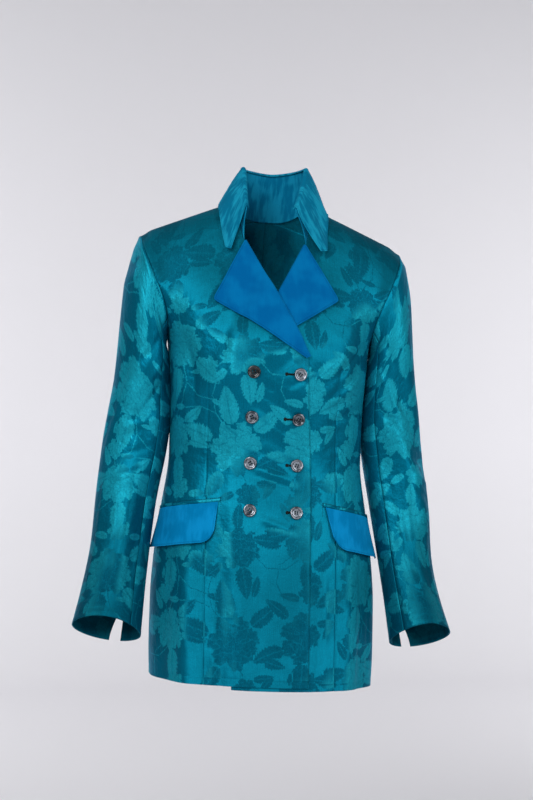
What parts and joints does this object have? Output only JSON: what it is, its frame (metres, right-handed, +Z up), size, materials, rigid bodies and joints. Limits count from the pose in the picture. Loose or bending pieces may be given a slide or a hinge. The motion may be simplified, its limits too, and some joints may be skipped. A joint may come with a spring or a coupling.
{
  "type": "satin blazer",
  "caption": "Double-breasted tailored blazer in teal flowered satin with velvet collar, lapels and pocket flaps, hollow as worn.",
  "frame": {"origin": "middle of the neck opening, level with the tops of the two shoulder seams, where the wearer's shoulders carry the jacket", "axes": "+Z up along the standing wearer, +X towards the wearer's left, -Y towards the front of the jacket"},
  "size_m": [0.5928, 0.2696, 0.8255],
  "materials": {
    "satin": "satin",
    "velvet": "matte",
    "grey_shell": "gloss",
    "thread": "matte"
  },
  "bodies": {
    "root": {"front_left": "satin", "front_right": "satin", "back_left": "satin", "back_right": "satin", "sleeve_upper_left": "satin", "sleeve_upper_right": "satin", "sleeve_under_left": "satin", "sleeve_under_right": "satin", "pocket_welt_left": "satin", "pocket_welt_right": "satin", "pocket_flap_left": "velvet", "pocket_flap_right": "velvet", "lapel_left": "velvet", "lapel_right": "velvet", "collar_stand": "velvet", "collar_fall": "velvet", "button_right_1": "grey_shell", "button_right_2": "grey_shell", "button_right_3": "grey_shell", "button_right_4": "grey_shell", "button_left_1": "grey_shell", "button_left_2": "grey_shell", "button_left_3": "grey_shell", "button_left_4": "grey_shell"}
  },
  "joints": []
}
